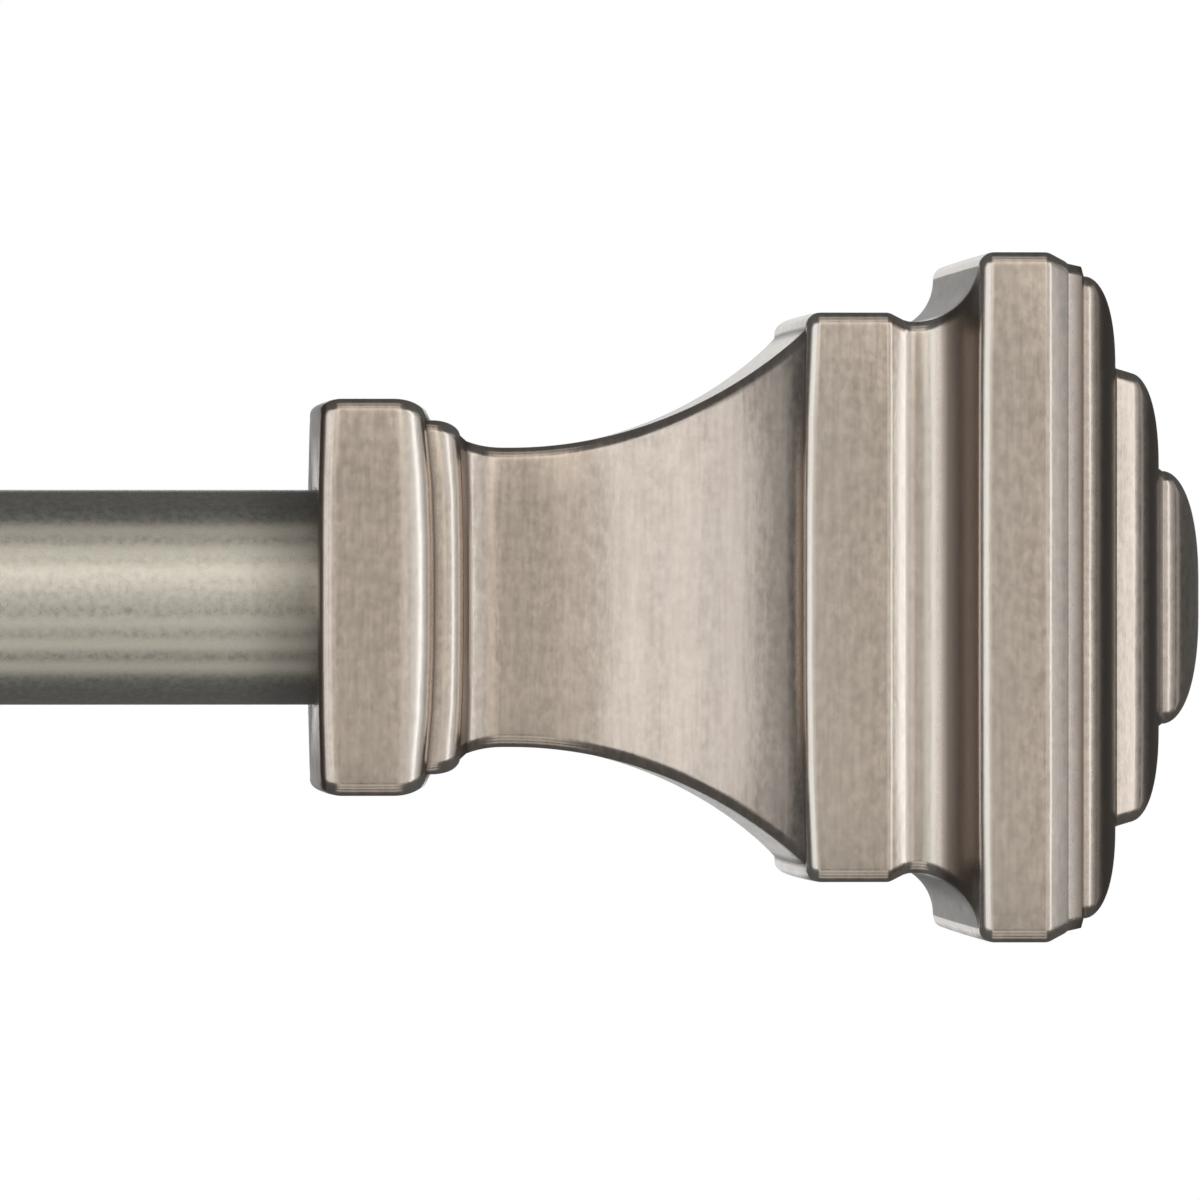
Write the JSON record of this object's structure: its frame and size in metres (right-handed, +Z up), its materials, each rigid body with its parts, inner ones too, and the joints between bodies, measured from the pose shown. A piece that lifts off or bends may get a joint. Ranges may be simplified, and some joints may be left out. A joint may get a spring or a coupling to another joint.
{
  "type": "curtain rod",
  "caption": "Telescoping round curtain rod with a square trumpet finial at each end, held in slide-out cradle brackets that screw to a wall.",
  "frame": {"origin": "centre of the right wall plate's back face, on the wall", "axes": "+X along the rod towards the right finial, -Y out of the wall into the room, +Z up"},
  "size_m": [1.0291, 0.1507, 0.0789],
  "materials": {
    "finial_pewter": "brushed pewter plating on a casting",
    "rod_pewter": "satin pewter lacquer on steel tube",
    "bracket_pewter": "satin pewter lacquer on steel",
    "zinc_plate": "bright zinc plate",
    "nylon": "moulded nylon",
    "grey_plastic": "moulded polyethylene"
  },
  "bodies": {
    "right_bracket_base": {"right_wall_plate": "bracket_pewter", "right_wall_screw_upper": "zinc_plate", "right_wall_screw_lower": "zinc_plate", "right_wall_plug_upper": "grey_plastic", "right_wall_plug_lower": "grey_plastic"},
    "right_arm": {"right_cradle_arm": "bracket_pewter"},
    "right_lock_screw": {"right_projection_screw": "zinc_plate"},
    "right_lock_nut": {"right_projection_nut": "zinc_plate"},
    "right_pad": {"right_clamp_pad": "nylon"},
    "right_thumb_screw": {"right_clamp_screw": "bracket_pewter"},
    "outer_rod": {"outer_tube": "rod_pewter"},
    "right_plug": {"right_end_plug": "nylon"},
    "right_finial": {"right_finial_body": "finial_pewter", "right_finial_pin": "zinc_plate"},
    "bush": {"telescope_bush": "nylon"},
    "inner_rod": {"inner_tube": "rod_pewter"},
    "left_plug": {"left_end_plug": "nylon"},
    "left_finial": {"left_finial_body": "finial_pewter", "left_finial_pin": "zinc_plate", "left_reducer_ring": "grey_plastic"},
    "left_bracket_base": {"left_wall_plate": "bracket_pewter", "left_wall_screw_upper": "zinc_plate", "left_wall_screw_lower": "zinc_plate", "left_wall_plug_upper": "grey_plastic", "left_wall_plug_lower": "grey_plastic"},
    "left_arm": {"left_cradle_arm": "bracket_pewter"},
    "left_lock_screw": {"left_projection_screw": "zinc_plate"},
    "left_lock_nut": {"left_projection_nut": "zinc_plate"},
    "left_pad": {"left_clamp_pad": "nylon"},
    "left_thumb_screw": {"left_clamp_screw": "bracket_pewter"}
  },
  "joints": [
    {"name": "projection", "type": "slide", "parent": "right_bracket_base", "child": "right_arm", "axis": [0, -1, 0], "range_m": [-0.012, 0.012]},
    {"name": "rod_lift", "type": "slide", "parent": "right_arm", "child": "outer_rod", "axis": [0, 0, 1], "range_m": [0, 0.03]},
    {"name": "telescope", "type": "slide", "parent": "outer_rod", "child": "bush", "axis": [-1, 0, 0], "range_m": [-0.1524, 0.3048]},
    {"name": "tube_twist", "type": "hinge", "parent": "bush", "child": "inner_rod", "pos_m": [-0.175, -0.09, 0.00904], "axis": [1, 0, 0], "continuous": true},
    {"name": "right_plug_pull", "type": "slide", "parent": "outer_rod", "child": "right_plug", "axis": [1, 0, 0], "range_m": [0, 0.03]},
    {"name": "right_finial_turn", "type": "hinge", "parent": "right_plug", "child": "right_finial", "pos_m": [0.06, -0.09, 0.00904], "axis": [1, 0, 0], "continuous": true},
    {"name": "left_plug_pull", "type": "slide", "parent": "inner_rod", "child": "left_plug", "axis": [-1, 0, 0], "range_m": [0, 0.03]},
    {"name": "left_finial_turn", "type": "hinge", "parent": "left_plug", "child": "left_finial", "pos_m": [-0.83848, -0.09, 0.00904], "axis": [-1, 0, 0], "continuous": true},
    {"name": "left_bracket_slide", "type": "slide", "parent": "right_bracket_base", "child": "left_bracket_base", "axis": [-1, 0, 0], "range_m": [-0.1524, 0.3048]},
    {"name": "left_projection", "type": "slide", "parent": "left_bracket_base", "child": "left_arm", "axis": [0, -1, 0], "range_m": [-0.012, 0.012]},
    {"name": "right_lock_turn", "type": "hinge", "parent": "right_bracket_base", "child": "right_lock_screw", "pos_m": [0, -0.036, 0], "axis": [0, 0, -1], "range_deg": [0, 721]},
    {"name": "right_nut_travel", "type": "slide", "parent": "right_bracket_base", "child": "right_lock_nut", "axis": [0, 0, 1], "range_m": [0, 0.0014]},
    {"name": "right_pad_travel", "type": "slide", "parent": "right_arm", "child": "right_pad", "axis": [0, -1, 0], "range_m": [0, 0.00241]},
    {"name": "right_clamp_turn", "type": "hinge", "parent": "right_pad", "child": "right_thumb_screw", "pos_m": [0, -0.1, 0.00904], "axis": [0, -1, 0], "range_deg": [0, 1080]},
    {"name": "left_lock_turn", "type": "hinge", "parent": "left_bracket_base", "child": "left_lock_screw", "pos_m": [-0.77848, -0.036, 0.00094], "axis": [0, 0, -1], "range_deg": [0, 721]},
    {"name": "left_nut_travel", "type": "slide", "parent": "left_bracket_base", "child": "left_lock_nut", "axis": [0, 0, 1], "range_m": [0, 0.0014]},
    {"name": "left_pad_travel", "type": "slide", "parent": "left_arm", "child": "left_pad", "axis": [0, -1, 0], "range_m": [0, 0.00241]},
    {"name": "left_clamp_turn", "type": "hinge", "parent": "left_pad", "child": "left_thumb_screw", "pos_m": [-0.77848, -0.1, 0.00997], "axis": [0, -1, 0], "range_deg": [0, 1080]}
  ],
  "couplings": [
    {"joint": "left_bracket_slide", "follows": "telescope", "ratio": 1},
    {"joint": "left_projection", "follows": "projection", "ratio": 1},
    {"joint": "right_lock_turn", "follows": "right_nut_travel", "rad_per_m": 8976},
    {"joint": "right_pad_travel", "follows": "right_clamp_turn", "m_per_rad": 0.00012732},
    {"joint": "left_lock_turn", "follows": "left_nut_travel", "rad_per_m": 8976},
    {"joint": "left_pad_travel", "follows": "left_clamp_turn", "m_per_rad": 0.00012732}
  ]
}
